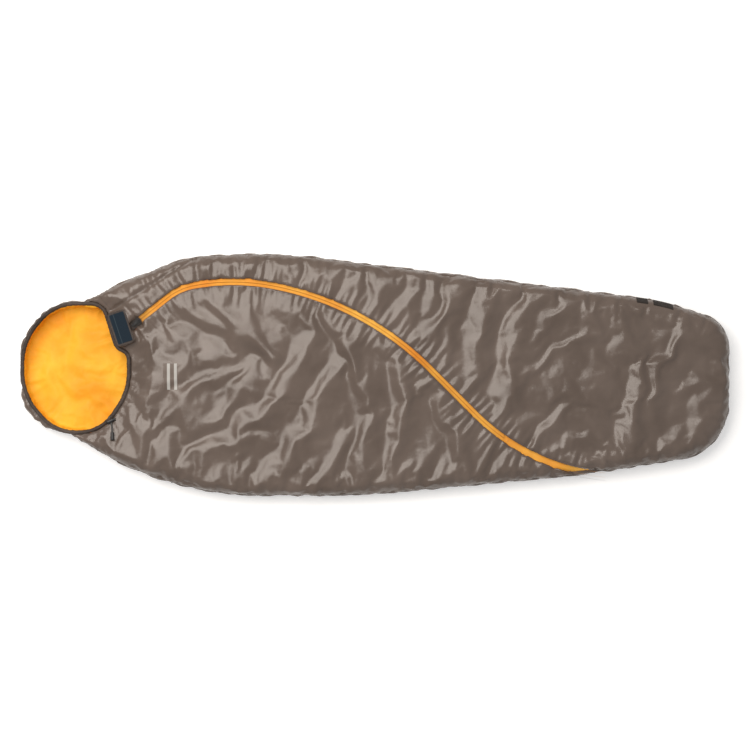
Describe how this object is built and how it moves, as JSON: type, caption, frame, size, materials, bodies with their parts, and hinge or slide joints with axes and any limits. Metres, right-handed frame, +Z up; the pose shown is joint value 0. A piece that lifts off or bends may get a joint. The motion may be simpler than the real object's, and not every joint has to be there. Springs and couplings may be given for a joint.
{
  "type": "mummy sleeping bag",
  "caption": "Closed mummy sleeping bag lying flat, with an insulated hood, a curved front zip, a flap that folds open, a neck tab and a hood drawcord.",
  "frame": {"origin": "middle of the footprint, on the floor", "axes": "+X from the hood to the foot, +Y to the side the zip opens on, +Z up"},
  "size_m": [2.2, 0.751, 0.1082],
  "materials": {
    "shell_fabric": "glossy ripstop-free nylon taffeta, taupe",
    "lining_fabric": "soft orange taffeta",
    "insulation": "white polyester wadding",
    "rim_binding": "dark taupe binding fabric",
    "elastic_cord": "black and grey elastic cord",
    "zip_tape": "woven orange tape",
    "zip_coil": "moulded nylon coil",
    "zip_metal": "black enamel",
    "touch_tape": "hook and loop tape",
    "woven_label": "navy damask weave",
    "printed_patch": "pale grey heat-transfer film",
    "black_plastic": "moulded black plastic",
    "webbing": "flat black webbing"
  },
  "bodies": {
    "bag": {"back_shell": "shell_fabric", "back_insulation": "insulation", "back_lining": "lining_fabric", "side_shell": "shell_fabric", "side_insulation": "insulation", "side_lining": "lining_fabric", "hood_shell": "shell_fabric", "hood_insulation_1": "insulation", "hood_insulation_2": "insulation", "hood_insulation_3": "insulation", "hood_insulation_4": "insulation", "hood_lining": "lining_fabric", "front_shell": "shell_fabric", "front_insulation": "insulation", "front_lining": "lining_fabric", "hood_rim_channel_1": "rim_binding", "hood_rim_channel_2": "rim_binding", "hood_rim_channel_3": "rim_binding", "hood_rim_channel_4": "rim_binding", "hood_drawcord": "elastic_cord", "zip_tape_fixed": "zip_tape", "zip_tape_tail": "zip_tape", "zip_coil_fixed": "zip_coil", "zip_top_stop_fixed": "zip_metal", "zip_bottom_stop": "zip_coil", "draft_tube": "lining_fabric", "neck_loop_patch": "touch_tape", "cord_lock_body": "black_plastic", "cord_eyelet": "black_plastic", "drawcord_strand_a": "elastic_cord", "drawcord_strand_b": "elastic_cord", "cord_end_bead": "black_plastic", "hang_loop_1": "webbing", "hang_loop_2": "webbing"},
    "front_flap": {"flap_shell": "shell_fabric", "flap_insulation": "insulation", "flap_lining": "lining_fabric", "neck_rim_channel": "rim_binding", "neck_drawcord": "elastic_cord", "zip_tape_flap": "zip_tape", "zip_coil_flap": "zip_coil", "zip_top_stop_flap": "zip_metal", "chest_patch": "printed_patch", "neck_tab_foot": "rim_binding"},
    "slider": {"slider_body": "zip_metal"},
    "pull": {"pull_tab": "zip_metal"},
    "tab": {"neck_tab": "rim_binding", "neck_tab_hook_patch": "touch_tape", "neck_tab_label": "woven_label"},
    "plunger": {"cord_lock_plunger": "black_plastic"}
  },
  "joints": [
    {"name": "flap_fold", "type": "hinge", "parent": "bag", "child": "front_flap", "pos_m": [-0.808, -0.118, 0.1], "axis": [0.9928, -0.1198, 0], "range_deg": [0, 150]},
    {"name": "slider_run", "type": "slide", "parent": "front_flap", "child": "slider", "axis": [0.7826, 0.6225, 0], "range_m": [0, 0.12]},
    {"name": "pull_swing", "type": "hinge", "parent": "slider", "child": "pull", "pos_m": [-0.72978, 0.1677, 0.0934], "axis": [-0.6225, 0.7826, 0], "range_deg": [0, 150]},
    {"name": "tab_lift", "type": "hinge", "parent": "front_flap", "child": "tab", "pos_m": [-0.76627, 0.09471, 0.1029], "axis": [0.9489, 0.3156, 0], "range_deg": [0, 160]},
    {"name": "lock_press", "type": "slide", "parent": "bag", "child": "plunger", "axis": [-0.9121, -0.41, 0], "range_m": [0, 0.003], "stiffness_N_per_m": 400, "springref_m": -0.002}
  ]
}
